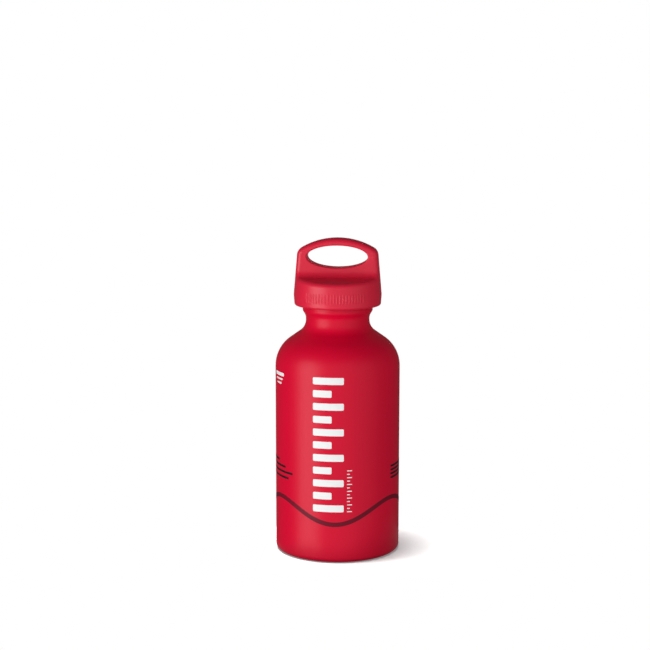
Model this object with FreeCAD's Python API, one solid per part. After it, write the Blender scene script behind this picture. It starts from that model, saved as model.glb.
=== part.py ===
import FreeCAD
import Part

import math
import os

# Camping fuel bottle with a push-and-turn screw cap, in millimetres.
# The bottle stands on z = 0 with its axis on +Z, and the cap's carry loop lies in the XZ plane.
# Heights are added up from the floor: bottle, gasket, plug flange, dog clutch, cap roof, carry loop.
# Radii are added up from the neck: lip, retaining ring, flange, skirt.

# Bottle: one seamless aluminium shell
BODY_R = 32.5            # barrel, outside
BODY_WALL = 1.2
BASE_T = 2.0
BASE_CORNER_R = 2.5      # outside corner between the barrel and the foot
BASE_INNER_R = 3.2
FOOT_W = 6.0             # flat ring that the bottle stands on
FOOT_EDGE_R = 3.0
PUNT_DEPTH = 3.2         # how far the base is dished up
PUNT_FLAT_R = 11.0
PUNT_BLEND_R = 14.0
BARREL_H = 97.6          # top of the straight side
SHOULDER_SLOPE = 35.2    # degrees above the horizon
SHOULDER_INNER_SLOPE = 32.0  # less than outside, so the wall thickens towards the neck
SHOULDER_R = 17.7        # between the barrel and the slope
NECK_R = 16.55
NECK_BLEND_R = 7.3       # between the slope and the neck
NECK_H = 2.36            # from the shoulder's round up to the bead's lower corner
NECK_WALL = 2.55         # outside the thread's groove
THROAT_R = 1.5           # where the bore opens into the bottle
BEAD_OUT = 1.7           # the neck's bead flares out to the rim
BEAD_H = 2.43
BEAD_FOOT_R = 5.0        # hollow between the neck and the flare
BEAD_TOP_R = 2.5         # round between the flare and the rim
LIP_H = 6.21             # straight rim above the bead's upper corner
LIP_EDGE_R = 1.0

# Neck thread, right-handed, cut into the neck wall
THREAD_DEPTH = 1.5
THREAD_PITCH = 3.0
THREAD_LAND = 0.8        # bore left between two turns of the groove
THREAD_FLANK = 15.0      # degrees from square to the axis
THREAD_GAP_R = 0.25      # plug crest to groove, and plug root to bore
THREAD_GAP_Z = 0.25      # flank to flank
THREAD_OVERRUN = 0.3     # how far a cutter or a ridge reaches past the wall it meets
MOUTH_CHAMFER = 1.8

# Gasket and threaded plug
GASKET_T = 1.5
GASKET_GAP = 0.2         # round the plug's collar
GASKET_INSET = 0.5       # inside the lip's rim
COLLAR_OUT = 0.2         # plug collar past the groove's radius
COLLAR_GAP_Z = 0.15      # collar above the lip
FLANGE_T = 2.4
FLANGE_CATCH = 1.3       # what the retaining ring holds the flange by
FLANGE_EDGE_R = 0.5
STEM_L = 13.0            # below the lip
STEM_CHAMFER = 1.0
STEM_FLOOR_T = 2.2
STEM_WALL = 2.6
CUP_CORNER_R = 0.8
THREAD_LEAD = 1.2        # plain stem below the plug's thread
THREAD_RELIEF = 2.0      # plain stem between the thread and the lip
VENT_W = 2.4             # slot across the plug's thread that lets pressure out first
VENT_DEPTH = 0.6         # into the stem

# Dog clutch between the plug and the outer cap
DOG_COUNT = 8
DOG_PLAY = 6.5           # degrees, free turn on each side of a dog
DOG_L = 5.5              # along the radius
DOG_H = 1.5
DOG_GAP = 0.4            # between the two sets of dogs at rest
DOG_END_GAP = 0.2        # left between a dog and the facing floor when pressed
DOG_OUT_GAP = 1.2        # inside the flange's rim
DOG_ROOT = 0.5           # how far a dog is sunk into the floor it stands on

# Return spring
SPRING_WIRE = 1.2
SPRING_TURNS = 6.0
SPRING_CUP_GAP = 0.8     # to the wall of the plug's cup
SPRING_SAMPLES = 48      # points for each turn where its gap is measured
SPIGOT_GAP = 0.4         # inside the spring
SPIGOT_H = 2.6
SPIGOT_WALL = 1.8

# Retaining ring and outer cap
LIP_GAP = 1.1            # ring to the bottle's lip
RING_H = 3.4
RING_STEP = 0.35         # ring past the skirt's bore
RING_GAP = 0.05
RING_CHAMFER = 0.8
SKIRT_GAP = 0.4          # skirt to flange
SKIRT_WALL = 1.0         # outside the ring, at the bottom edge
SKIRT_DROP = 3.4         # below the lip
SKIRT_CORNER_R = 1.2
RIDGE_OUT = 0.43         # widest line of the cap past its bottom edge
RIDGE_H = 5.6
RIDGE_BLEND_R = 8.0
CAP_TAPER = 4.8          # degrees, above the ridge
ROOF_T = 2.3             # at the rim, where it is thinnest
ROOF_CORNER_R = 1.0
SHELF_SLOPE = 6.6        # degrees, down from the loop to the rim
LOOP_RISE = 19.85        # above the shelf
LOOP_T = 9.5
LOOP_ARCH_R = 37.2
LOOP_CORNER_R = 4.6
BAND_T = 3.75            # above the finger hole
WEB_T = 5.41             # beside the finger hole
HOLE_SILL = 1.1          # flat between the finger hole and the round below it
SCOOP_R = 3.9            # between the shelf and the loop
EDGE_R = 2.6
HOLE_EDGE_R = 0.8
EDGE_LAND = 0.3          # least flat left between two rounded edges

V = FreeCAD.Vector
ORIGIN = V(0, 0, 0)
AXIS = V(0, 0, 1)
OVERSHOOT = 2.0          # how far a cutting tool runs past what it cuts
NO_LENGTH = 1e-6         # lines shorter than this are left out
TOUCH = 1e-3             # edges nearer to a surface than this lie on it
PARALLEL = 0.999         # least cosine between two directions that count as one

# Heights, from the floor up
slope = math.radians(SHOULDER_SLOPE)
slope_reach = math.tan((math.pi / 2 - slope) / 2)  # a round's length along the slope, for each mm of radius
slope_l = (BODY_R - NECK_R) / math.cos(slope)
shoulder_r = min(SHOULDER_R, slope_l / slope_reach - NECK_BLEND_R)
barrel_corner_z = BARREL_H + shoulder_r * slope_reach
neck_corner_z = barrel_corner_z + slope_l * math.sin(slope)
bead_z = neck_corner_z + NECK_BLEND_R * slope_reach + NECK_H
lip_z = bead_z + BEAD_H
lip_top_z = lip_z + LIP_H
flange_z = lip_top_z + GASKET_T
flange_top_z = flange_z + FLANGE_T
roof_z = flange_top_z + 2 * DOG_H + DOG_GAP
cap_bottom_z = lip_top_z - SKIRT_DROP
stem_bottom_z = lip_top_z - STEM_L
cup_floor_z = stem_bottom_z + STEM_FLOOR_T
push_travel = DOG_H + DOG_GAP - DOG_END_GAP

# The bead's two rounds are drawn in where they would meet on the flare, or would leave the neck
bead_reach = math.tan(math.atan2(BEAD_OUT, BEAD_H) / 2)  # a round's length there, for each mm of radius
bead_room = math.hypot(BEAD_OUT, BEAD_H) - EDGE_LAND
bead_share = min(1, bead_room / bead_reach / (BEAD_FOOT_R + BEAD_TOP_R), NECK_H / bead_reach / BEAD_FOOT_R)

# Radii, from the neck out
lip_r = NECK_R + BEAD_OUT
thread_r = NECK_R - NECK_WALL
bore_r = thread_r - THREAD_DEPTH
crest_r = thread_r - THREAD_GAP_R
stem_r = bore_r - THREAD_GAP_R
cup_r = stem_r - STEM_WALL
collar_r = thread_r + COLLAR_OUT
ring_in_r = lip_r + LIP_GAP
flange_r = ring_in_r + FLANGE_CATCH
dog_out_r = flange_r - DOG_OUT_GAP
skirt_in_r = flange_r + SKIRT_GAP
ring_out_r = skirt_in_r + RING_STEP
ring_seat_r = ring_out_r + RING_GAP
cap_bottom_r = ring_seat_r + SKIRT_WALL
ridge_r = cap_bottom_r + RIDGE_OUT
spring_r = cup_r - SPRING_CUP_GAP - SPRING_WIRE / 2
spigot_r = spring_r - SPRING_WIRE / 2 - SPIGOT_GAP

# Carry loop, on the cap's roof and between the cap's tapering sides
ridge_z = cap_bottom_z + RIDGE_H
taper = math.tan(math.radians(CAP_TAPER))
shelf_drop = math.tan(math.radians(SHELF_SLOPE))
shelf_z = roof_z + ROOF_T + (ridge_r - LOOP_T / 2) * shelf_drop
scoop_reach = SCOOP_R * math.tan(math.radians(90 - SHELF_SLOPE) / 2)
loop_top_z = shelf_z + LOOP_RISE
hole_b = (LOOP_RISE - BAND_T - HOLE_SILL - scoop_reach) / 2
hole_z = loop_top_z - BAND_T - hole_b
hole_a = ridge_r - (hole_z - ridge_z) * taper - WEB_T
edge_r = min(EDGE_R, min(BAND_T, WEB_T) - HOLE_EDGE_R - EDGE_LAND, (LOOP_T - EDGE_LAND) / 2)


def rounded_face(corners):
    """Face in the XZ plane with the given (x, z, radius) corners, each rounded by a tangent arc."""
    count = len(corners)
    places = [V(x, 0, z) for x, z, _ in corners]
    ends = []
    edges = []
    for i, here in enumerate(places):
        radius = corners[i][2]
        back = (places[i - 1] - here).normalize()
        ahead = (places[(i + 1) % count] - here).normalize()
        if radius == 0:
            ends.append((here, here))
            continue
        half_angle = back.getAngle(ahead) / 2
        reach = radius / math.tan(half_angle)
        bisector = (back + ahead).normalize()
        middle = here + bisector * (radius / math.sin(half_angle) - radius)
        start = here + back * reach
        end = here + ahead * reach
        ends.append((start, end))
        edges.append(Part.Arc(start, middle, end).toShape())
    for i in range(count):
        start = ends[i][1]
        end = ends[(i + 1) % count][0]
        if start.distanceToPoint(end) > NO_LENGTH:
            edges.append(Part.LineSegment(start, end).toShape())
    return Part.Face(Part.Wire(Part.__sortEdges__(edges)))


def turned(corners):
    """Solid of revolution about Z with the given half section."""
    return rounded_face(corners).revolve(ORIGIN, AXIS, 360)


def tube(inner, outer, low, high):
    """Plain ring between two radii and two heights."""
    ring = Part.makeCylinder(outer, high - low, V(0, 0, low))
    return ring.cut(Part.makeCylinder(inner, high - low, V(0, 0, low)))


def thread_sweep(root_r, tip_r, gap, low, high):
    """Helical bar of the thread's trapezoid, widened by gap, from the lowest to the highest height.

    The neck's and the plug's helices both pass x > 0 at the plug's lower end, so they mesh at rest.
    """
    flank = math.tan(math.radians(THREAD_FLANK))
    turns_below = math.ceil((stem_bottom_z - low) / THREAD_PITCH)
    start_z = stem_bottom_z - turns_below * THREAD_PITCH
    helix = Part.makeLongHelix(THREAD_PITCH, high - start_z, (root_r + tip_r) / 2, 0)
    helix.translate(V(0, 0, start_z))
    half_bore = (THREAD_PITCH - THREAD_LAND) / 2 - THREAD_GAP_Z + gap
    half_root = half_bore + (bore_r - root_r) * flank
    half_tip = half_bore + (bore_r - tip_r) * flank
    section = Part.makePolygon([
        V(root_r, 0, start_z - half_root),
        V(tip_r, 0, start_z - half_tip),
        V(tip_r, 0, start_z + half_tip),
        V(root_r, 0, start_z + half_root),
        V(root_r, 0, start_z - half_root),
    ])
    sweep = Part.BRepOffsetAPI.MakePipeShell(Part.Wire(helix))
    sweep.setFrenetMode(True)
    sweep.add(section)
    sweep.build()
    sweep.makeSolid()
    return sweep.shape()


def dogs(low, high, first_angle):
    """Ring of clutch dogs between two heights."""
    pitch = 360.0 / DOG_COUNT
    width = pitch / 2 - DOG_PLAY
    block = tube(dog_out_r - DOG_L, dog_out_r, low, high)
    found = []
    for i in range(DOG_COUNT):
        wedge = Part.makeCylinder(2 * dog_out_r, high - low, V(0, 0, low), AXIS, width)
        wedge.rotate(ORIGIN, AXIS, first_angle + i * pitch - width / 2)
        found.append(block.common(wedge))
    return found


def bottle_body():
    """Aluminium shell with its dished base, shoulder, beaded neck and the thread cut in the neck."""
    inner_r = BODY_R - BODY_WALL
    inner_corner_z = barrel_corner_z - BODY_WALL * slope_reach
    throat_z = inner_corner_z + (inner_r - bore_r) * math.tan(math.radians(SHOULDER_INNER_SLOPE))
    foot_in_r = BODY_R - BASE_CORNER_R - FOOT_W
    mouth_r = bore_r + MOUTH_CHAMFER
    shell = turned([
        (0, PUNT_DEPTH, 0),
        (PUNT_FLAT_R, PUNT_DEPTH, PUNT_BLEND_R),
        (foot_in_r, 0, FOOT_EDGE_R),
        (BODY_R, 0, BASE_CORNER_R),
        (BODY_R, barrel_corner_z, shoulder_r),
        (NECK_R, neck_corner_z, NECK_BLEND_R),
        (NECK_R, bead_z, BEAD_FOOT_R * bead_share),
        (lip_r, lip_z, BEAD_TOP_R * bead_share),
        (lip_r, lip_top_z, LIP_EDGE_R),
        (mouth_r, lip_top_z, 0),
        (bore_r, lip_top_z - MOUTH_CHAMFER, 0),
        (bore_r, throat_z, THROAT_R),
        (inner_r, inner_corner_z, shoulder_r - BODY_WALL),
        (inner_r, BASE_T, BASE_INNER_R),
        (foot_in_r, BASE_T, FOOT_EDGE_R),
        (PUNT_FLAT_R, PUNT_DEPTH + BASE_T, PUNT_BLEND_R),
        (0, PUNT_DEPTH + BASE_T, 0),
    ])
    groove = thread_sweep(
        bore_r - THREAD_OVERRUN, thread_r, THREAD_GAP_Z,
        throat_z - 2 * THREAD_PITCH, lip_top_z + THREAD_PITCH,
    )
    return shell.cut(groove)


def neck_gasket():
    """Flat rubber ring between the lip and the plug's flange."""
    return tube(collar_r + GASKET_GAP, lip_r - GASKET_INSET, lip_top_z, flange_z)


def threaded_plug():
    """Inner stopper: flange with clutch dogs, threaded stem and a cup for the spring."""
    stopper = turned([
        (0, stem_bottom_z, 0),
        (stem_r, stem_bottom_z, STEM_CHAMFER),
        (stem_r, lip_top_z + COLLAR_GAP_Z, 0),
        (collar_r, lip_top_z + COLLAR_GAP_Z, 0),
        (collar_r, flange_z, 0),
        (flange_r, flange_z, 0),
        (flange_r, flange_top_z, FLANGE_EDGE_R),
        (cup_r, flange_top_z, FLANGE_EDGE_R),
        (cup_r, cup_floor_z, CUP_CORNER_R),
        (0, cup_floor_z, 0),
    ])
    thread_low_z = stem_bottom_z + THREAD_LEAD
    thread_high_z = lip_top_z - THREAD_RELIEF
    ridge = thread_sweep(stem_r - THREAD_OVERRUN, crest_r, 0, thread_low_z, thread_high_z + THREAD_PITCH)
    band = tube(stem_r - 2 * THREAD_OVERRUN, crest_r + OVERSHOOT, thread_low_z, thread_high_z)
    stopper = stopper.fuse(ridge.common(band))
    slot = Part.makeBox(
        crest_r, VENT_W, thread_high_z - stem_bottom_z + OVERSHOOT,
        V(stem_r - VENT_DEPTH, -VENT_W / 2, stem_bottom_z - OVERSHOOT),
    )
    stopper = stopper.cut(slot)
    return stopper.fuse(dogs(flange_top_z - DOG_ROOT, flange_top_z + DOG_H, 0)).removeSplitter()


def arc_from(start, direction, end):
    """Circular arc that leaves start along direction and reaches end."""
    chord = end - start
    along = V(chord).normalize()
    side = direction - along * direction.dot(along)
    lean = direction.getAngle(along)
    middle = start + chord * 0.5 + side.normalize() * (chord.Length / 2 * math.tan(lean / 2))
    return Part.Arc(start, middle, end).toShape()


def coil_path(radius, pitch, turns, low):
    """Wire of arcs along a right-handed helix: one pair of tangent arcs for each quarter turn."""
    rise = pitch / (2 * math.pi)

    def place(angle):
        return V(radius * math.cos(angle), radius * math.sin(angle), low + rise * angle)

    def heading(angle):
        return V(-radius * math.sin(angle), radius * math.cos(angle), rise).normalize()

    edges = []
    quarters = round(turns * 4)
    for i in range(quarters):
        first = turns * 2 * math.pi * i / quarters
        last = turns * 2 * math.pi * (i + 1) / quarters
        gap = place(last) - place(first)
        both = heading(first) + heading(last)
        spread = 2 * (1 - heading(first).dot(heading(last)))
        reach = (math.sqrt(gap.dot(both) ** 2 + spread * gap.dot(gap)) - gap.dot(both)) / spread
        meet = (place(first) + heading(first) * reach + place(last) - heading(last) * reach) * 0.5
        edges.append(arc_from(place(first), heading(first), meet))
        edges.append(arc_from(place(last), heading(last) * -1, meet))
    return Part.Wire(Part.__sortEdges__(edges))


def least_gap(path):
    """Least distance between points of a coil's path that lie at least half a turn apart."""
    points = path.discretize(Number=round(SPRING_TURNS * SPRING_SAMPLES) + 1)
    half_turn = SPRING_SAMPLES // 2
    return min(
        point.distanceToPoint(other)
        for i, point in enumerate(points)
        for other in points[i + half_turn:]
    )


def return_spring():
    """Round-wire compression spring with ground ends, from the plug's cup to the cap's roof."""
    length = roof_z - cup_floor_z
    pitch = length / SPRING_TURNS
    path = coil_path(spring_r, pitch, SPRING_TURNS, cup_floor_z)
    print("spring's least gap to itself %.2f mm" % (least_gap(path) - SPRING_WIRE))
    rise = pitch / (2 * math.pi)
    section = Part.Wire(Part.makeCircle(SPRING_WIRE / 2, V(spring_r, 0, cup_floor_z), V(0, spring_r, rise)))
    sweep = Part.BRepOffsetAPI.MakePipeShell(path)
    sweep.add(section)
    sweep.build()
    sweep.makeSolid()
    slab = Part.makeCylinder(cup_r, length, V(0, 0, cup_floor_z))
    return sweep.shape().common(slab)


def retaining_ring():
    """Ring fixed in the skirt from below, which keeps the plug's flange in the cap."""
    return turned([
        (ring_in_r, flange_z - RING_H + RING_CHAMFER, 0),
        (ring_in_r, flange_z, 0),
        (ring_out_r, flange_z, 0),
        (ring_out_r, flange_z - RING_H, 0),
        (ring_in_r + RING_CHAMFER, flange_z - RING_H, 0),
    ])


def outer_cap():
    """Moulded cap: tapered skirt, two scooped shelves, carry loop, and the clutch under its roof."""
    tool_top_z = loop_top_z + OVERSHOOT
    cap = turned([
        (0, cap_bottom_z, 0),
        (cap_bottom_r, cap_bottom_z, SKIRT_CORNER_R),
        (ridge_r, ridge_z, RIDGE_BLEND_R),
        (ridge_r - (tool_top_z - ridge_z) * taper, tool_top_z, 0),
        (0, tool_top_z, 0),
    ])
    arch_end = V(0, -2 * ridge_r, loop_top_z - LOOP_ARCH_R)
    cap = cap.common(Part.makeCylinder(LOOP_ARCH_R, 4 * ridge_r, arch_end, V(0, 1, 0)))
    for side in (-1, 1):
        cap = cap.cut(scoop(side, tool_top_z))
    cap = cap.makeFillet(LOOP_CORNER_R, [e for e in cap.Edges if is_loop_corner(e)])
    cap = cap.makeFillet(edge_r, [e for e in cap.Edges if is_shelf_edge(e)])
    hole_centre = V(0, -LOOP_T, hole_z)
    hole = Part.Ellipse(hole_centre + V(hole_a, 0, 0), hole_centre + V(0, 0, hole_b), hole_centre)
    cap = cap.cut(Part.Face(Part.Wire(hole.toShape())).extrude(V(0, 2 * LOOP_T, 0)))
    cap = cap.makeFillet(HOLE_EDGE_R, [e for e in cap.Edges if is_hole_edge(e)])
    cap = cap.cut(turned([
        (0, cap_bottom_z - OVERSHOOT, 0),
        (ring_seat_r, cap_bottom_z - OVERSHOOT, 0),
        (ring_seat_r, flange_z, 0),
        (skirt_in_r, flange_z, 0),
        (skirt_in_r, roof_z, ROOF_CORNER_R),
        (0, roof_z, 0),
    ]))
    spigot = tube(spigot_r - SPIGOT_WALL, spigot_r, roof_z - SPIGOT_H, roof_z + DOG_ROOT)
    half_pitch = 180.0 / DOG_COUNT
    return cap.fuse([spigot] + dogs(roof_z - DOG_H, roof_z + DOG_ROOT, half_pitch)).removeSplitter()


def scoop(side, top_z):
    """Cutter for one side of the loop: its flat face, the round below it, and the sloping shelf."""
    far = 2 * ridge_r
    face = rounded_face([
        (LOOP_T / 2, top_z, 0),
        (LOOP_T / 2, shelf_z, SCOOP_R),
        (far, shelf_z - (far - LOOP_T / 2) * shelf_drop, 0),
        (far, top_z, 0),
    ])
    face.translate(V(0, -far, 0))
    cutter = face.extrude(V(0, 2 * far, 0))
    cutter.rotate(ORIGIN, AXIS, side * 90)
    return cutter


def middle_of(edge):
    """Point halfway along an edge."""
    return edge.valueAt((edge.FirstParameter + edge.LastParameter) / 2)


def is_loop_corner(edge):
    """Edges across the loop, where its arch meets its sides."""
    point = middle_of(edge)
    on_arch = abs(math.hypot(point.x, point.z - loop_top_z + LOOP_ARCH_R) - LOOP_ARCH_R) < TOUCH
    return on_arch and abs(point.y) < LOOP_T / 2 - edge_r / 2 and abs(point.x) > hole_a


def is_shelf_edge(edge):
    """Edges where a scoop meets the outside of the cap, but not those within the scoop."""
    point = middle_of(edge)
    along_x = edge.Curve.TypeId == "Part::GeomLine" and abs(edge.tangentAt(edge.FirstParameter).x) > PARALLEL
    return abs(point.y) > LOOP_T / 2 - TOUCH and point.z > roof_z and not along_x


def is_hole_edge(edge):
    """Rims of the finger hole on the two faces of the loop."""
    point = middle_of(edge)
    inside = (point.x / hole_a) ** 2 + ((point.z - hole_z) / hole_b) ** 2
    return abs(abs(point.y) - LOOP_T / 2) < TOUCH and abs(inside - 1) < TOUCH


def main():
    os.makedirs("parts", exist_ok=True)
    makers = [bottle_body, neck_gasket, threaded_plug, return_spring, retaining_ring, outer_cap]
    for maker in makers:
        shape = maker()
        name = maker.__name__
        print("%-16s valid %s, volume %.1f mm3" % (name, shape.isValid(), shape.Volume))
        shape.exportStep("parts/%s.step" % name)
    print("push travel %.2f, lip top %.3f, cup floor %.3f" % (push_travel, lip_top_z, cup_floor_z))
    print("finger hole %.2f by %.2f, centre height %.2f" % (2 * hole_a, 2 * hole_b, hole_z))


main()
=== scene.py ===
import math
from typing import NamedTuple

import bpy
import numpy as np
from bpy.props import FloatProperty, FloatVectorProperty, IntProperty, PointerProperty
from bpy.types import NodeSocket, Operator, Panel, PropertyGroup
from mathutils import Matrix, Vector


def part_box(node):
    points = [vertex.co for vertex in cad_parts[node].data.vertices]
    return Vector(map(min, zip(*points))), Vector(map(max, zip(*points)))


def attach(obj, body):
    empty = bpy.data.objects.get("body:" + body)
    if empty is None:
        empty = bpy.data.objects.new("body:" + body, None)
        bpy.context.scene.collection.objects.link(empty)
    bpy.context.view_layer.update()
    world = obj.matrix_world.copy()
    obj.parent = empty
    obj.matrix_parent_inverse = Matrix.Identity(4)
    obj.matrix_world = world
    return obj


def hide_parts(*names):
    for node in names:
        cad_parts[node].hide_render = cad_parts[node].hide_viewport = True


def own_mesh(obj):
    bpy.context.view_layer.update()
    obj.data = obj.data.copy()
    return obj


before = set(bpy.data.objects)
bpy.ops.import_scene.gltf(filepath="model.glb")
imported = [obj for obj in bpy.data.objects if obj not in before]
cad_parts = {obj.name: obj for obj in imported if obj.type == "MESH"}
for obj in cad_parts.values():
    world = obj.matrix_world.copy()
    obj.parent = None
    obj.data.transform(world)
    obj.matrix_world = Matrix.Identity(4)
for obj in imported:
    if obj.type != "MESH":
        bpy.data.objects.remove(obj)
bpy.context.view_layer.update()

bl_info = {
    "name": "Camping fuel bottle",
    "version": (1, 0, 0),
    "blender": (4, 5, 0),
    "location": "View3D > Sidebar > Fuel bottle",
    "description": "Finishes, prints, grip ribs, spring and studio for the fuel bottle",
    "category": "Object",
}

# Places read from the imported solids, in metres
BARREL_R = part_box("bottle_body")[1].x
LIP_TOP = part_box("bottle_body")[1].z
SKIRT_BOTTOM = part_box("outer_cap")[0].z
SKIRT_OUT_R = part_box("outer_cap")[1].x
SPRING_LOW, SPRING_HIGH = (corner.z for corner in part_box("return_spring"))
SPRING_OUT_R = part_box("return_spring")[1].x

# Slot names of the record, passed along with the new pieces
PAINT_SLOT = "red_paint_on_aluminium"
CAP_SLOT = "red_plastic"
SPRING_SLOT = "spring_steel"

# Mesh fineness
BAR_STEPS = 24           # along a printed bar, denser at its rounded ends
BAR_ROWS = 3             # across a printed bar
BAR_END = 1e-6           # half height left at a bar's rounded end, so that no face there is empty
BAND_STEPS = 360         # round the bottle
BAND_ROWS = 5            # across the wave band
RIB_STEPS = 12           # across a rib and along it
RIB_EDGE = 0.25          # share of its root by which a rib's outer edge is sunk
WIRE_STEPS = 16          # round the spring's wire
COIL_STEPS = 64          # for each turn of the spring
SHARP_ANGLE = math.radians(40)  # between two faces whose common edge stays crisp

# Limits of the unpainted metal on the bottle
INWARD = -0.1            # a wall faces the axis where its outward share is less than this
UPWARD = 0.5             # the inner floor's normal rises more than this
INNER_FLOOR_TOP = 0.012  # and it lies lower than this, in metres
LIP_DEPTH = 0.0004       # how far the bare lip reaches down, in metres

# Finishes
ETCHED_MIRROR = 0.45     # share of the bare metal that mirrors, where etching makes the rest scatter
PLASTIC_SPREAD = 0.05    # how far a plastic's roughness varies, up and down
INK_SPREAD = 0.04        # the same for printed ink

# Stage
WHITE = (1, 1, 1, 1)                # the room's colour, and at a strength of 1 the backdrop's
PAPER_SEEN = (0.80, 0.80, 0.80)     # the floor's paper, as the camera sees it
PAPER_BOUNCE = (0.10, 0.10, 0.10)   # the greyer paper that throws light back at the object
BACKDROP_FADE = 0.965               # cosine from the backdrop's middle at which it ends
BACKDROP_FULL = 0.99                # cosine at which it is fully white
CLIP_START = 0.01                   # nearest that the camera sees, in metres


class Softbox(NamedTuple):
    """Rectangular lamp: turn and rise in degrees, sizes and distance in metres, and if gloss shows it."""

    name: str
    turn: float
    rise: float
    width: float
    height: float
    distance: float = 0.65
    mirrored: bool = True


SOFTBOXES = (
    Softbox("key", turn=-48.5, rise=0.0, width=0.47, height=0.66),
    Softbox("front", turn=0.0, rise=1.0, width=0.80, height=0.78),
    Softbox("right", turn=60.0, rise=2.0, width=0.50, height=0.78),
    Softbox("fill", turn=26.0, rise=2.0, width=1.20, height=0.90, mirrored=False),
    Softbox("edge", turn=90.0, rise=1.0, width=0.60, height=0.78, mirrored=False),
    Softbox("back", turn=180.0, rise=5.0, width=0.30, height=0.60, mirrored=False),
)
PAPER_SOFTBOX = Softbox("paper", turn=-77.4, rise=82.6, width=0.30, height=0.85, distance=2.00)


# Settings

def length(name, description, default):
    """Length property in metres."""
    return FloatProperty(
        name=name, description=description, default=default, min=0.0, precision=5, unit="LENGTH",
    )


def lengths(name, description, default):
    """Several lengths in metres."""
    return FloatVectorProperty(
        name=name, description=description, default=default, size=len(default), min=0.0, unit="LENGTH",
    )


def angle(name, description, degrees):
    """Angle property, given in degrees."""
    return FloatProperty(
        name=name, description=description, default=math.radians(degrees), subtype="ANGLE",
    )


def number(name, description, default, least=0.0):
    """Plain number property, such as a strength or a focal length."""
    return FloatProperty(name=name, description=description, default=default, min=least)


def whole_number(name, description, default, least):
    """Property that counts something."""
    return IntProperty(name=name, description=description, default=default, min=least)


def power(name, description, default):
    """Lamp power property in watts."""
    return FloatProperty(name=name, description=description, default=default, min=0.0, unit="POWER")


def colour(name, description, default):
    """Linear colour property."""
    return FloatVectorProperty(
        name=name, description=description, default=default, size=3, min=0.0, max=1.0, subtype="COLOR",
    )


class FinishColours(PropertyGroup):
    """Base colours of the finishes."""

    paint: colour("Paint", "Satin paint on the bottle", (0.645, 0.0004, 0.0275))
    # Cap colour: partly the plastic's own red, partly a painted even sheen (raised green and blue)
    cap: colour("Cap plastic", "Moulded plastic of the outer cap and its ring", (0.70, 0.012, 0.044))
    plug: colour("Plug plastic", "Moulded plastic of the threaded plug", (0.018, 0.018, 0.020))
    gasket: colour("Gasket rubber", "Rubber of the neck gasket", (0.030, 0.029, 0.028))
    metal: colour("Bare aluminium", "Unpainted metal inside the bottle and on its lip", (0.80, 0.81, 0.82))
    steel: colour("Spring steel", "Drawn wire of the return spring", (0.56, 0.55, 0.54))
    white_ink: colour("White ink", "Printed scale and fill mark", (0.86, 0.86, 0.86))
    band_ink: colour("Band ink", "Printed wave band", (0.15, 0.0065, 0.018))
    black_ink: colour("Black ink", "Printed notes", (0.012, 0.010, 0.012))


class PrintSizes(PropertyGroup):
    """White scale, fine ticks and fill mark printed on the barrel."""

    ink: length("Ink thickness", "How far the print stands on the paint", 0.00004)
    sunk: length("Ink overlap", "How far the print reaches into the paint", 0.00012)
    corner: length("Corner radius", "Rounding of a bar's corners", 0.0006)
    left: angle("Scale's left edge", "Turn from the front to the bars' common edge", -17.8)
    low: length("Scale's foot", "Height of the lowest bar's middle", 0.0288)
    pitch: length("Bar pitch", "Height between two bars", 0.0066)
    bars: whole_number("Bars", "Number of bars in the scale", 11, least=2)
    bar: length("Bar height", "Height of a bar", 0.0036)
    wide: length("Long bar", "Width of every second bar", 0.0160)
    narrow: length("Short bar", "Width of the bars between", 0.0098)
    tick_left: angle("Ticks' left edge", "Turn from the front to the fine ticks", 13.4)
    tick_low: length("Ticks' foot", "Height of the lowest fine tick's lower edge", 0.0270)
    tick_pitch: length("Tick pitch", "Height between two fine ticks", 0.00178)
    ticks: whole_number("Ticks", "Number of fine ticks", 13, least=2)
    tick: length("Tick height", "Height of a fine tick", 0.00045)
    tick_wide: length("Long tick", "Width of every second fine tick", 0.0026)
    tick_narrow: length("Short tick", "Width of the fine ticks between", 0.0015)
    mark_left: angle("Fill mark's left edge", "Turn from the front to the fill mark", -73.0)
    mark_height: length("Fill mark's height", "Height of the middle of its bar", 0.0953)
    mark_wide: length("Fill mark's width", "Width of the fill mark", 0.0113)
    mark: length("Fill mark's thickness", "Height of its bar", 0.0018)
    mark_line: length("Fill mark's lines", "Height of the short lines below its bar", 0.0009)
    mark_pitch: length("Fill mark's pitch", "Height between the bar and the lines", 0.0021)
    mark_lines: lengths("Fill mark's line widths", "Widths of the lines below its bar", (0.0085, 0.0058))


class NoteSizes(PropertyGroup):
    """Plain lines of black print on the left and right of the barrel."""

    line: length("Line", "Height of a line", 0.0011)
    left: angle("Left notes' edge", "Turn from the front to the left lines' common edge", -102.0)
    left_top: length("Left notes' top", "Height of the highest left line", 0.0495)
    left_pitch: length("Left notes' pitch", "Height between two left lines", 0.0028)
    left_lines: lengths("Left line widths", "From the highest line down", (0.0220, 0.0291, 0.0350, 0.0318))
    right: angle("Right notes' edge", "Turn from the front to the right lines' common edge", 62.4)
    right_top: length("Right notes' top", "Height of the highest right line", 0.0471)
    right_pitch: length("Right notes' pitch", "Height between two right lines", 0.00204)
    right_lines: lengths("Right line widths", "From the highest line down", (0.0240, 0.0205, 0.0262, 0.0178))


class BandSizes(PropertyGroup):
    """Wave band printed round the barrel."""

    height: length("Height", "Middle height of the band", 0.0258)
    swing: length("Swing", "Rise and fall on each side of the middle", 0.0054)
    width: length("Width", "Width across the band", 0.0023)
    waves: whole_number("Waves", "Number of waves round the bottle", 3, least=1)
    trough: angle("Trough", "Turn from the front to the lowest place", 2.0)


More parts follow.
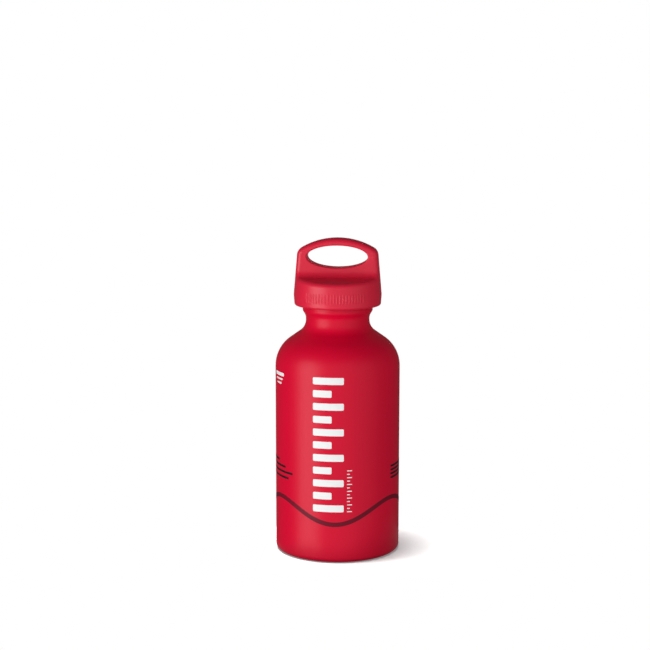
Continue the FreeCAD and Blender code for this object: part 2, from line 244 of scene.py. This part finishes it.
class RibSizes(PropertyGroup):
    """Grip ribs moulded on the front and back of the cap's skirt."""

    count: whole_number("Ribs", "Number of ribs on each side", 21, least=1)
    spacing: angle("Spacing", "Turn between two ribs", 4.0)
    width: length("Width", "Width of a rib at its foot", 0.0010)
    height: length("Rise", "How far a rib stands out", 0.00028)
    sunk: length("Root", "How far a rib is sunk into the skirt", 0.0002)
    low: length("Foot", "Height of a rib's lower end above the skirt's edge", 0.0026)
    high: length("Top", "Height of a rib's upper end above the skirt's edge", 0.0085)
    ridge: length("Ridge", "Height of the skirt's widest line above its edge", 0.0056)
    below: angle("Lower slope", "Lean of the skirt below its widest line", 4.39)
    above: angle("Upper slope", "Lean of the skirt above its widest line", 4.8)


class SpringSizes(PropertyGroup):
    """Round-wire return spring."""

    wire: length("Wire", "Diameter of the wire", 0.0012)
    turns: number("Turns", "Turns from end to end", 6.0, least=1.0)


class StageSettings(PropertyGroup):
    """Camera, soft light and floor."""

    turn: angle("Camera turn", "Turn from the front, to the right", 5.267)
    rise: angle("Camera rise", "Angle above the horizon", 8.557)
    distance: length("Camera distance", "From the point it looks at", 0.8012)
    look_height: length("Look height", "Height of the point the camera looks at", 0.1186)
    look_left: length("Look left", "From the axis to that point, to the left", 0.00664)
    lens: number("Lens", "Focal length in millimetres", 84.98, least=1.0)
    middle: length("Middle", "Height on the axis that the softboxes face", 0.080)
    key: power("Key light", "Power of the left softbox", 3.8)
    front: power("Front light", "Power of the front softbox", 0.30)
    right: power("Right light", "Power of the right softbox", 0.10)
    fill: power("Fill light", "Power of the matte fill", 3.3)
    edge: power("Edge light", "Power of the matte side fill", 0.45)
    back: power("Back light", "Power of the matte back fill", 2.5)
    paper: power("Paper light", "Power of the floor's own softbox", 70.0)
    ambient: number("Ambient", "Even light from all round", 0.08)
    floor_glow: number("Floor white", "White that the floor shows by itself", 0.21)
    floor_mirrored: number("Mirrored floor", "Share of that white in reflections", 0.61)
    floor_left: length("Floor, left", "From the axis to the paper's left edge", 0.037)
    floor_right: length("Floor, right", "From the axis to the paper's right edge", 0.080)
    floor_front: length("Floor, front", "From the axis to the paper's front edge", 0.050)
    floor_back: length("Floor, back", "From the axis to the paper's back edge", 0.034)


class FuelBottleSettings(PropertyGroup):
    """All settings of the fuel bottle."""

    colours: PointerProperty(type=FinishColours)
    prints: PointerProperty(type=PrintSizes)
    notes: PointerProperty(type=NoteSizes)
    band: PointerProperty(type=BandSizes)
    ribs: PointerProperty(type=RibSizes)
    spring: PointerProperty(type=SpringSizes)
    stage: PointerProperty(type=StageSettings)


# Meshes

def round_the_axis(turns, heights, radii):
    """Points at a turn from the front (-Y towards +X), a height and a radius, as one array."""
    turns, heights, radii = np.broadcast_arrays(turns, heights, radii)
    return np.stack([radii * np.sin(turns), -radii * np.cos(turns), heights], axis=-1)


def closed_slab(outer, inner, wraps=False):
    """Closed skin of a slab between two grids: outer face, inner face and the rims that join their borders.

    Rows run along the turn and columns along the height, so the outer face points outwards.
    A grid that wraps joins its last row to its first, and has rims only below and above.
    """
    rows, columns = outer.shape[:2]
    ids = np.arange(rows * columns).reshape(rows, columns)
    here = ids if wraps else ids[:-1]
    ahead = np.roll(ids, -1, axis=0) if wraps else ids[1:]
    front = np.stack([here[:, :-1], ahead[:, :-1], ahead[:, 1:], here[:, 1:]], axis=-1).reshape(-1, 4)
    if wraps:
        start = np.concatenate([here[:, 0], ahead[:, -1]])
        end = np.concatenate([ahead[:, 0], here[:, -1]])
    else:
        start = np.concatenate([ids[:, 0], ids[-1, 1:], ids[-2::-1, -1], ids[0, -2:0:-1]])
        end = np.roll(start, -1)
    under = rows * columns
    rim = np.stack([end, start, start + under, end + under], axis=-1)
    points = np.concatenate([outer.reshape(-1, 3), inner.reshape(-1, 3)])
    return points, np.concatenate([front, front[:, ::-1] + under, rim])


def joined(slabs):
    """One array of points and one list of faces from several slabs."""
    firsts = np.cumsum([0] + [len(points) for points, _ in slabs[:-1]])
    points = np.concatenate([points for points, _ in slabs])
    faces = np.concatenate([faces + first for (_, faces), first in zip(slabs, firsts)])
    return points, faces.tolist()


def make_piece(name, points, faces, material, body, slot):
    """Smooth mesh object at the origin that rides on a body."""
    mesh = bpy.data.meshes.new(name)
    mesh.from_pydata(points.tolist(), [], faces)
    mesh.polygons.foreach_set("use_smooth", np.ones(len(mesh.polygons), bool))
    mesh.set_sharp_from_angle(angle=SHARP_ANGLE)
    mesh.materials.append(material)
    mesh.update()
    piece = bpy.data.objects.new(name, mesh)
    bpy.context.scene.collection.objects.link(piece)
    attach(piece, body)
    return piece


def printed_bar(sizes, left, low, width, height):
    """Bar of ink on the barrel, from its left edge and lower edge.

    Across the bar, x = width/2 * sin(t) for t from -90 to 90 degrees. Its half height is height/2 less what
    the corner circle takes: corner - sqrt(corner^2 - over^2), where over is how far x is into the corner.
    """
    t = np.linspace(-math.pi / 2, math.pi / 2, BAR_STEPS)
    across = width / 2 * np.sin(t)
    corner = min(sizes.corner, height / 2, width / 2)
    over = np.clip(np.abs(across) - (width / 2 - corner), 0, corner)
    half = height / 2 - corner + np.sqrt(np.maximum(corner ** 2 - over ** 2, 0.0)) + BAR_END
    rise = np.linspace(-1, 1, BAR_ROWS)
    turns = left + (across[:, None] + width / 2) / BARREL_R
    heights = low + height / 2 + half[:, None] * rise
    outer = round_the_axis(turns, heights, BARREL_R + sizes.ink)
    inner = round_the_axis(turns, heights, BARREL_R - sizes.sunk)
    return closed_slab(outer, inner)


def wave_band(band, ink, sunk):
    """Band of ink round the barrel, of even width across.

    Its middle line is height - swing * cos(waves * (turn - trough)). Each edge lies half a width from it,
    along the line's own normal on the unrolled barrel.
    """
    turn = np.linspace(0, 2 * math.pi, BAND_STEPS, endpoint=False)
    phase = band.waves * (turn - band.trough)
    slope = band.swing * band.waves * np.sin(phase) / BARREL_R
    middle = band.height - band.swing * np.cos(phase)
    across = np.linspace(-band.width / 2, band.width / 2, BAND_ROWS) / np.sqrt(1 + slope ** 2)[:, None]
    turns = turn[:, None] - across * slope[:, None] / BARREL_R
    heights = middle[:, None] + across
    outer = round_the_axis(turns, heights, BARREL_R + ink)
    inner = round_the_axis(turns, heights, BARREL_R - sunk)
    return closed_slab(outer, inner, wraps=True)


def grip_rib(ribs, turn):
    """Rounded rib on the skirt at a turn from the front.

    Its rise is height * cos(u) * (1 - v^4), with u across from -90 to 90 degrees and v from end to end.
    It stands on the skirt's radius, which falls off by each slope below and above the ridge.
    """
    u = np.linspace(-math.pi / 2, math.pi / 2, RIB_STEPS)[:, None]
    v = np.linspace(-1, 1, RIB_STEPS)[None, :]
    heights = SKIRT_BOTTOM + (ribs.low + ribs.high) / 2 + v * (ribs.high - ribs.low) / 2
    off = heights - SKIRT_BOTTOM - ribs.ridge
    fall = np.where(off < 0, -off * math.tan(ribs.below), off * math.tan(ribs.above))
    skirt = SKIRT_OUT_R - fall
    turns = turn + u / (math.pi / 2) * ribs.width / 2 / SKIRT_OUT_R
    swell = ribs.height * np.cos(u) * (1 - v ** 4)
    outer = round_the_axis(turns, heights, skirt + swell - ribs.sunk * RIB_EDGE)
    inner = round_the_axis(turns, heights, skirt - ribs.sunk)
    return closed_slab(outer, inner)


def coil(spring):
    """Tube along a right-handed helix, with both ends ground flat.

    The path is (R cos a, R sin a, low + rise * a) and the wire's circle lies square to it. Heights past the
    spring's seats are cut back to them.
    """
    radius = SPRING_OUT_R - spring.wire / 2
    steps = round(spring.turns * COIL_STEPS) + 1
    turn = np.linspace(0, spring.turns * 2 * math.pi, steps)
    rise = (SPRING_HIGH - SPRING_LOW) / (spring.turns * 2 * math.pi)
    lean = math.hypot(radius, rise)
    out = np.stack([np.cos(turn), np.sin(turn), np.zeros(steps)], axis=-1)
    over = np.stack([-rise * np.sin(turn), rise * np.cos(turn), np.full(steps, -radius)], axis=-1) / lean
    path = np.stack([radius * np.cos(turn), radius * np.sin(turn), SPRING_LOW + rise * turn], axis=-1)
    round_wire = np.linspace(0, 2 * math.pi, WIRE_STEPS, endpoint=False)[None, :, None]
    circle = np.cos(round_wire) * out[:, None] + np.sin(round_wire) * over[:, None]
    tube = path[:, None] + spring.wire / 2 * circle
    tube[..., 2] = np.clip(tube[..., 2], SPRING_LOW, SPRING_HIGH)
    ids = np.arange(steps * WIRE_STEPS).reshape(steps, WIRE_STEPS)
    beside = np.roll(ids, -1, axis=1)
    sides = np.stack([ids[:-1], beside[:-1], beside[1:], ids[1:]], axis=-1).reshape(-1, 4)
    ends = [ids[0, ::-1].tolist(), ids[-1].tolist()]
    return tube.reshape(-1, 3), sides.tolist() + ends


# Materials

def put(tree, kind, inputs=None, **settings):
    """New node with its settings, and each input set to a value or wired to a socket."""
    node = tree.nodes.new(kind)
    for name, value in settings.items():
        setattr(node, name, value)
    for key, value in (inputs or {}).items():
        if isinstance(value, NodeSocket):
            tree.links.new(value, node.inputs[key])
        else:
            node.inputs[key].default_value = value
    return node


def calc(tree, operation, first, second=0.0):
    """Result of one sum on two numbers or sockets."""
    return put(tree, "ShaderNodeMath", {0: first, 1: second}, operation=operation).outputs[0]


def vector_calc(tree, operation, first, second=(0, 0, 0)):
    """Node for one sum on two vectors or sockets."""
    return put(tree, "ShaderNodeVectorMath", {0: first, 1: second}, operation=operation)


def between(tree, value, low, high):
    """Value from 0 to 1 stretched to the range from low to high."""
    return put(tree, "ShaderNodeMapRange", {"Value": value, "To Min": low, "To Max": high}).outputs["Result"]


def mixed(tree, factor, first, second):
    """Blend of two colours, each a tuple or a socket."""
    first = (*first, 1.0) if isinstance(first, tuple) else first
    second = (*second, 1.0) if isinstance(second, tuple) else second
    return put(tree, "ShaderNodeMix", {0: factor, 6: first, 7: second}, data_type="RGBA").outputs[2]


def mixed_value(tree, factor, first, second):
    """Blend of two numbers."""
    return put(tree, "ShaderNodeMix", {0: factor, 2: first, 3: second}, data_type="FLOAT").outputs[0]


def varied(tree, factor, base, darker, lighter):
    """Base colour that goes from a darker to a lighter share of itself."""
    dark = tuple(min(channel * darker, 1.0) for channel in base)
    light = tuple(min(channel * lighter, 1.0) for channel in base)
    return mixed(tree, factor, dark, light)


def noise(tree, coords, scale, detail):
    """Noise value from 0 to 1."""
    inputs = {"Vector": coords, "Scale": scale, "Detail": detail}
    return put(tree, "ShaderNodeTexNoise", inputs).outputs["Fac"]


def bumped(tree, height, strength, depth):
    """Normal with a relief of the given depth in metres."""
    inputs = {"Height": height, "Strength": strength, "Distance": depth}
    return put(tree, "ShaderNodeBump", inputs).outputs["Normal"]


def stretched(tree, coords, scale):
    """Coordinates scaled for each axis."""
    return put(tree, "ShaderNodeMapping", {"Vector": coords, "Scale": scale}).outputs["Vector"]


def new_material(name):
    """Material with an empty tree, its Principled shader and its Object coordinates."""
    material = bpy.data.materials.new(name)
    material.use_nodes = True
    tree = material.node_tree
    tree.nodes.clear()
    shader = put(tree, "ShaderNodeBsdfPrincipled")
    put(tree, "ShaderNodeOutputMaterial", {"Surface": shader.outputs["BSDF"]})
    place = put(tree, "ShaderNodeTexCoord")
    return material, tree, shader, place


def wire_up(tree, shader, **sockets):
    """Links or sets the shader's inputs by name, with spaces written as underscores."""
    for name, value in sockets.items():
        socket = shader.inputs[name.replace("_", " ")]
        if isinstance(value, NodeSocket):
            tree.links.new(value, socket)
        else:
            socket.default_value = value


def bare_mask(tree, place):
    """1 on the metal left unpainted: walls that face the axis, the floor inside, and the lip's top."""
    coords, normal = place.outputs["Object"], place.outputs["Normal"]
    flat = vector_calc(tree, "MULTIPLY", coords, (1, 1, 0)).outputs[0]
    out = vector_calc(tree, "NORMALIZE", flat).outputs[0]
    facing = vector_calc(tree, "DOT_PRODUCT", out, normal).outputs["Value"]
    height = put(tree, "ShaderNodeSeparateXYZ", {0: coords}).outputs["Z"]
    rising = put(tree, "ShaderNodeSeparateXYZ", {0: normal}).outputs["Z"]
    wall = calc(tree, "LESS_THAN", facing, INWARD)
    upward = calc(tree, "GREATER_THAN", rising, UPWARD)
    inner_floor = calc(tree, "MULTIPLY", upward, calc(tree, "LESS_THAN", height, INNER_FLOOR_TOP))
    lip = calc(tree, "GREATER_THAN", height, LIP_TOP - LIP_DEPTH)
    return calc(tree, "MAXIMUM", wall, calc(tree, "MAXIMUM", inner_floor, lip))


def painted_aluminium(colours):
    """Satin paint with a faint orange peel, and turned, etched bare metal where there is no paint."""
    material, tree, shader, place = new_material("satin_paint_on_aluminium")
    coords = place.outputs["Object"]
    bare = bare_mask(tree, place)
    cloud = noise(tree, coords, scale=28.0, detail=3.0)
    peel = noise(tree, coords, scale=900.0, detail=2.0)
    turned = stretched(tree, coords, scale=(0.02, 0.02, 1.0))
    lathe = noise(tree, turned, scale=9000.0, detail=1.0)
    paint_colour = varied(tree, cloud, colours.paint, darker=0.97, lighter=1.03)
    metal_colour = varied(tree, lathe, colours.metal, darker=0.86, lighter=1.05)
    paint_rough = between(tree, peel, low=0.34, high=0.40)
    metal_rough = between(tree, lathe, low=0.26, high=0.42)
    relief = mixed_value(tree, bare, peel, lathe)
    wire_up(
        tree, shader,
        Base_Color=mixed(tree, bare, paint_colour, metal_colour),
        Metallic=calc(tree, "MULTIPLY", bare, ETCHED_MIRROR),
        Roughness=mixed_value(tree, bare, paint_rough, metal_rough),
        Normal=bumped(tree, relief, strength=0.12, depth=0.00004),
        Specular_IOR_Level=0.22,
    )
    return material


def moulded_plastic(name, base, rough, grain, specular):
    """Matte moulded plastic: spark-eroded grain, faint flow clouds and a little variation in gloss."""
    material, tree, shader, place = new_material(name)
    coords = place.outputs["Object"]
    drawn_up = stretched(tree, coords, scale=(1.0, 1.0, 0.45))
    flow = noise(tree, drawn_up, scale=70.0, detail=3.0)
    spark = noise(tree, coords, scale=grain, detail=2.0)
    wire_up(
        tree, shader,
        Base_Color=varied(tree, flow, base, darker=0.96, lighter=1.04),
        Roughness=between(tree, spark, low=rough - PLASTIC_SPREAD, high=rough + PLASTIC_SPREAD),
        Normal=bumped(tree, spark, strength=0.22, depth=0.00005),
        Specular_IOR_Level=specular,
    )
    return material


def gasket_rubber(base):
    """Dull rubber with a fine speckle of filler."""
    material, tree, shader, place = new_material("gasket_rubber")
    speckle = noise(tree, place.outputs["Object"], scale=2600.0, detail=3.0)
    wire_up(
        tree, shader,
        Base_Color=varied(tree, speckle, base, darker=0.75, lighter=1.35),
        Roughness=between(tree, speckle, low=0.66, high=0.82),
        Normal=bumped(tree, speckle, strength=0.3, depth=0.00003),
        Specular_IOR_Level=0.3,
    )
    return material


def drawn_steel(base):
    """Spring wire with streaks from the drawing die, level round the coil."""
    material, tree, shader, place = new_material("drawn_spring_steel")
    along = stretched(tree, place.outputs["Object"], scale=(0.06, 0.06, 1.0))
    streaks = noise(tree, along, scale=6000.0, detail=2.0)
    wire_up(
        tree, shader,
        Base_Color=varied(tree, streaks, base, darker=0.82, lighter=1.12),
        Metallic=1.0,
        Roughness=between(tree, streaks, low=0.24, high=0.40),
        Normal=bumped(tree, streaks, strength=0.1, depth=0.00002),
    )
    return material


def printed_ink(name, base, rough):
    """Screen-printed ink, slightly uneven in cover."""
    material, tree, shader, place = new_material(name)
    cover = noise(tree, place.outputs["Object"], scale=420.0, detail=3.0)
    wire_up(
        tree, shader,
        Base_Color=varied(tree, cover, base, darker=0.965, lighter=1.02),
        Roughness=between(tree, cover, low=rough - INK_SPREAD, high=rough + INK_SPREAD),
        Normal=bumped(tree, cover, strength=0.08, depth=0.00002),
        Specular_IOR_Level=0.15,
    )
    return material


def dress(node, material):
    """Puts one material on a CAD node."""
    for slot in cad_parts[node].material_slots:
        slot.material = material


# Stage

def towards(turn, rise):
    """Unit vector at a turn from the front, to the right, and a rise above the horizon."""
    return Vector((math.sin(turn) * math.cos(rise), -math.cos(turn) * math.cos(rise), math.sin(rise)))


def aimed(item, place, aim):
    """Puts a lamp or camera at a place, looking at a point."""
    item.location = place
    item.rotation_euler = (aim - place).to_track_quat("-Z", "Y").to_euler()


def bottle_middle(stage):
    """Point on the axis that the softboxes face."""
    return Vector((0, 0, stage.middle))


def camera_place(stage):
    """Where the camera stands, and the point that it looks at."""
    look = Vector((-stage.look_left, 0, stage.look_height))
    return look + towards(stage.turn, stage.rise) * stage.distance, look


def hang_softbox(box, stage):
    """Area lamp of a softbox's size and place, with its power from the settings, unseen by the camera."""
    name = box.name + "_softbox"
    lamp = bpy.data.lights.new(name, "AREA")
    lamp.shape = "RECTANGLE"
    lamp.size = box.width
    lamp.size_y = box.height
    lamp.energy = getattr(stage, box.name)
    item = bpy.data.objects.new(name, lamp)
    bpy.context.scene.collection.objects.link(item)
    aim = bottle_middle(stage)
    aimed(item, aim + towards(math.radians(box.turn), math.radians(box.rise)) * box.distance, aim)
    item.visible_camera = False
    item.visible_glossy = box.mirrored
    return item


def link_light(lamp, item, state):
    """Lets a lamp light nothing but an item (INCLUDE), or everything but it (EXCLUDE)."""
    group = bpy.data.collections.new(lamp.name + "_link")
    group.objects.link(item)
    lamp.light_linking.receiver_collection = group
    group.collection_objects[0].light_linking.link_state = state


def seen_masks(tree):
    """Two masks: 1 for rays from the camera, and 1 for those from a reflection or a transmission."""
    path = put(tree, "ShaderNodeLightPath").outputs
    mirrored = calc(tree, "MAXIMUM", path["Is Glossy Ray"], path["Is Transmission Ray"])
    return path["Is Camera Ray"], mirrored


def white_paper(stage):
    """Material of the floor: it keeps the object's shadow, and its own white shows where it is looked at.

    Light that it throws back at the object is that of a greyer paper.
    """
    material = bpy.data.materials.new("white_paper_floor")
    material.use_nodes = True
    tree = material.node_tree
    tree.nodes.clear()
    camera, mirrored = seen_masks(tree)
    seen = calc(tree, "MAXIMUM", camera, calc(tree, "MULTIPLY", mirrored, stage.floor_mirrored))
    strength = calc(tree, "MULTIPLY", seen, stage.floor_glow)
    shade = mixed(tree, camera, PAPER_BOUNCE, PAPER_SEEN)
    paper = put(tree, "ShaderNodeBsdfDiffuse", {"Color": shade}).outputs[0]
    white = put(tree, "ShaderNodeEmission", {"Strength": strength}).outputs[0]
    both = put(tree, "ShaderNodeAddShader", {0: paper, 1: white}).outputs[0]
    put(tree, "ShaderNodeOutputMaterial", {"Surface": both})
    return material


def pale_floor(stage):
    """Sheet of white paper under the bottle and its shadow."""
    left, right, near, far = -stage.floor_left, stage.floor_right, -stage.floor_front, stage.floor_back
    mesh = bpy.data.meshes.new("floor")
    corners = [(left, near, 0), (right, near, 0), (right, far, 0), (left, far, 0)]
    mesh.from_pydata(corners, [], [(0, 1, 2, 3)])
    mesh.materials.append(white_paper(stage))
    floor = bpy.data.objects.new("floor", mesh)
    bpy.context.scene.collection.objects.link(floor)
    return floor


def studio_room(stage):
    """World of a dim even room with a white backdrop behind the object.

    The camera sees white all round. Reflections see white where the backdrop stands and the room elsewhere.
    Its mask is the cosine between a ray and the middle of the backdrop.
    """
    world = bpy.data.worlds.new("studio_room")
    world.use_nodes = True
    tree = world.node_tree
    tree.nodes.clear()
    camera, mirrored = seen_masks(tree)
    heading = put(tree, "ShaderNodeTexCoord").outputs["Generated"]
    middle = (bottle_middle(stage) - camera_place(stage)[0]).normalized()
    cosine = vector_calc(tree, "DOT_PRODUCT", heading, middle).outputs["Value"]
    fade = {"Value": cosine, "From Min": BACKDROP_FADE, "From Max": BACKDROP_FULL}
    backdrop = put(tree, "ShaderNodeMapRange", fade).outputs["Result"]
    white_share = calc(tree, "MAXIMUM", camera, calc(tree, "MULTIPLY", mirrored, backdrop))
    room = put(tree, "ShaderNodeBackground", {"Color": WHITE, "Strength": stage.ambient}).outputs[0]
    white = put(tree, "ShaderNodeBackground", {"Color": WHITE, "Strength": 1.0}).outputs[0]
    both = put(tree, "ShaderNodeMixShader", {0: white_share, 1: room, 2: white}).outputs[0]
    put(tree, "ShaderNodeOutputWorld", {"Surface": both})
    bpy.context.scene.world = world


# Operators

class FUEL_BOTTLE_OT_paint_bottle(Operator):
    """Paint the bottle outside and leave its metal bare inside"""

    bl_idname = "fuel_bottle.paint_bottle"
    bl_label = "Paint bottle"

    def execute(self, context):
        dress("bottle_body", painted_aluminium(context.scene.fuel_bottle.colours))
        return {"FINISHED"}


class FUEL_BOTTLE_OT_finish_closure(Operator):
    """Give the cap, its ring, the plug and the gasket their finishes"""

    bl_idname = "fuel_bottle.finish_closure"
    bl_label = "Finish closure"

    def execute(self, context):
        colours = context.scene.fuel_bottle.colours
        red = moulded_plastic("matte_red_plastic", colours.cap, rough=0.37, grain=3200.0, specular=0.36)
        black = moulded_plastic("matte_black_plastic", colours.plug, rough=0.5, grain=2400.0, specular=0.4)
        dress("outer_cap", red)
        dress("retaining_ring", red)
        dress("threaded_plug", black)
        dress("neck_gasket", gasket_rubber(colours.gasket))
        return {"FINISHED"}


class FUEL_BOTTLE_OT_print_scale(Operator):
    """Print the white scale, its fine ticks and the fill mark on the barrel"""

    bl_idname = "fuel_bottle.print_scale"
    bl_label = "Print scale"

    def execute(self, context):
        settings = context.scene.fuel_bottle
        sizes = settings.prints
        ink = printed_ink("white_print", settings.colours.white_ink, rough=0.42)
        bars = []
        for i in range(sizes.bars):
            width = sizes.narrow if i % 2 else sizes.wide
            low = sizes.low + i * sizes.pitch - sizes.bar / 2
            bars.append(printed_bar(sizes, sizes.left, low, width, sizes.bar))
        make_piece("printed_scale", *joined(bars), ink, "bottle", PAINT_SLOT)
        ticks = []
        for i in range(sizes.ticks):
            width = sizes.tick_narrow if i % 2 else sizes.tick_wide
            low = sizes.tick_low + i * sizes.tick_pitch
            ticks.append(printed_bar(sizes, sizes.tick_left, low, width, sizes.tick))
        make_piece("printed_ticks", *joined(ticks), ink, "bottle", PAINT_SLOT)
        low = sizes.mark_height - sizes.mark / 2
        marks = [printed_bar(sizes, sizes.mark_left, low, sizes.mark_wide, sizes.mark)]
        for i, width in enumerate(sizes.mark_lines, 1):
            left = sizes.mark_left + (sizes.mark_wide - width) / 2 / BARREL_R
            low = sizes.mark_height - i * sizes.mark_pitch - sizes.mark_line
            marks.append(printed_bar(sizes, left, low, width, sizes.mark_line))
        make_piece("printed_fill_mark", *joined(marks), ink, "bottle", PAINT_SLOT)
        return {"FINISHED"}


class FUEL_BOTTLE_OT_print_notes(Operator):
    """Print plain black lines on the left and right of the barrel"""

    bl_idname = "fuel_bottle.print_notes"
    bl_label = "Print notes"

    def execute(self, context):
        settings = context.scene.fuel_bottle
        notes = settings.notes
        ink = printed_ink("black_print", settings.colours.black_ink, rough=0.44)
        for name, left, top, pitch, widths in (
            ("printed_notes_left", notes.left, notes.left_top, notes.left_pitch, notes.left_lines),
            ("printed_notes_right", notes.right, notes.right_top, notes.right_pitch, notes.right_lines),
        ):
            lines = [
                printed_bar(settings.prints, left, top - i * pitch, width, notes.line)
                for i, width in enumerate(widths)
            ]
            make_piece(name, *joined(lines), ink, "bottle", PAINT_SLOT)
        return {"FINISHED"}


class FUEL_BOTTLE_OT_print_band(Operator):
    """Print the wave band round the barrel"""

    bl_idname = "fuel_bottle.print_band"
    bl_label = "Print wave band"

    def execute(self, context):
        settings = context.scene.fuel_bottle
        ink = printed_ink("maroon_print", settings.colours.band_ink, rough=0.44)
        band = wave_band(settings.band, settings.prints.ink, settings.prints.sunk)
        make_piece("printed_wave_band", *joined([band]), ink, "bottle", PAINT_SLOT)
        return {"FINISHED"}


class FUEL_BOTTLE_OT_add_grip_ribs(Operator):
    """Add the grip ribs to the front and back of the cap's skirt"""

    bl_idname = "fuel_bottle.add_grip_ribs"
    bl_label = "Add grip ribs"

    def execute(self, context):
        ribs = context.scene.fuel_bottle.ribs
        first = -ribs.spacing * (ribs.count - 1) / 2
        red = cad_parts["outer_cap"].material_slots[0].material
        for name, side in (("grip_ribs_front", 0.0), ("grip_ribs_back", math.pi)):
            made = [grip_rib(ribs, side + first + i * ribs.spacing) for i in range(ribs.count)]
            make_piece(name, *joined(made), red, "shell", CAP_SLOT)
        return {"FINISHED"}


class FUEL_BOTTLE_OT_wind_spring(Operator):
    """Wind the return spring at its rest length; the real spring shortens as the cap is pushed"""

    bl_idname = "fuel_bottle.wind_spring"
    bl_label = "Wind spring"

    def execute(self, context):
        settings = context.scene.fuel_bottle
        steel = drawn_steel(settings.colours.steel)
        piece = make_piece("return_spring_wire", *coil(settings.spring), steel, "plug", SPRING_SLOT)
        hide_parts("return_spring")
        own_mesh(piece)
        return {"FINISHED"}


class FUEL_BOTTLE_OT_set_stage(Operator):
    """Set up the floor, the room, the softboxes and the camera"""

    bl_idname = "fuel_bottle.set_stage"
    bl_label = "Set stage"

    def execute(self, context):
        stage = context.scene.fuel_bottle.stage
        floor = pale_floor(stage)
        studio_room(stage)
        for box in SOFTBOXES:
            link_light(hang_softbox(box, stage), floor, "EXCLUDE")
        link_light(hang_softbox(PAPER_SOFTBOX, stage), floor, "INCLUDE")
        camera = bpy.data.cameras.new("camera")
        camera.lens = stage.lens
        camera.clip_start = CLIP_START
        item = bpy.data.objects.new("camera", camera)
        context.scene.collection.objects.link(item)
        aimed(item, *camera_place(stage))
        context.scene.camera = item
        context.scene.view_settings.view_transform = "Standard"
        return {"FINISHED"}


OPERATORS = (
    FUEL_BOTTLE_OT_paint_bottle,
    FUEL_BOTTLE_OT_finish_closure,
    FUEL_BOTTLE_OT_print_scale,
    FUEL_BOTTLE_OT_print_notes,
    FUEL_BOTTLE_OT_print_band,
    FUEL_BOTTLE_OT_add_grip_ribs,
    FUEL_BOTTLE_OT_wind_spring,
    FUEL_BOTTLE_OT_set_stage,
)


class VIEW3D_PT_fuel_bottle(Panel):
    """Sidebar panel with the bottle's steps"""

    bl_label = "Fuel bottle"
    bl_space_type = "VIEW_3D"
    bl_region_type = "UI"
    bl_category = "Fuel bottle"

    def draw(self, context):
        for operator in OPERATORS:
            self.layout.operator(operator.bl_idname)


GROUPS = (
    FinishColours,
    PrintSizes,
    NoteSizes,
    BandSizes,
    RibSizes,
    SpringSizes,
    StageSettings,
    FuelBottleSettings,
)


def register():
    for group in GROUPS:
        bpy.utils.register_class(group)
    bpy.types.Scene.fuel_bottle = PointerProperty(type=FuelBottleSettings)
    for operator in OPERATORS:
        bpy.utils.register_class(operator)
    bpy.utils.register_class(VIEW3D_PT_fuel_bottle)


def unregister():
    bpy.utils.unregister_class(VIEW3D_PT_fuel_bottle)
    for operator in reversed(OPERATORS):
        bpy.utils.unregister_class(operator)
    del bpy.types.Scene.fuel_bottle
    for group in reversed(GROUPS):
        bpy.utils.unregister_class(group)


def main():
    register()
    bpy.ops.fuel_bottle.paint_bottle()
    bpy.ops.fuel_bottle.finish_closure()
    bpy.ops.fuel_bottle.print_scale()
    bpy.ops.fuel_bottle.print_notes()
    bpy.ops.fuel_bottle.print_band()
    bpy.ops.fuel_bottle.add_grip_ribs()
    bpy.ops.fuel_bottle.wind_spring()
    bpy.ops.fuel_bottle.set_stage()


if __name__ == "__main__":
    main()
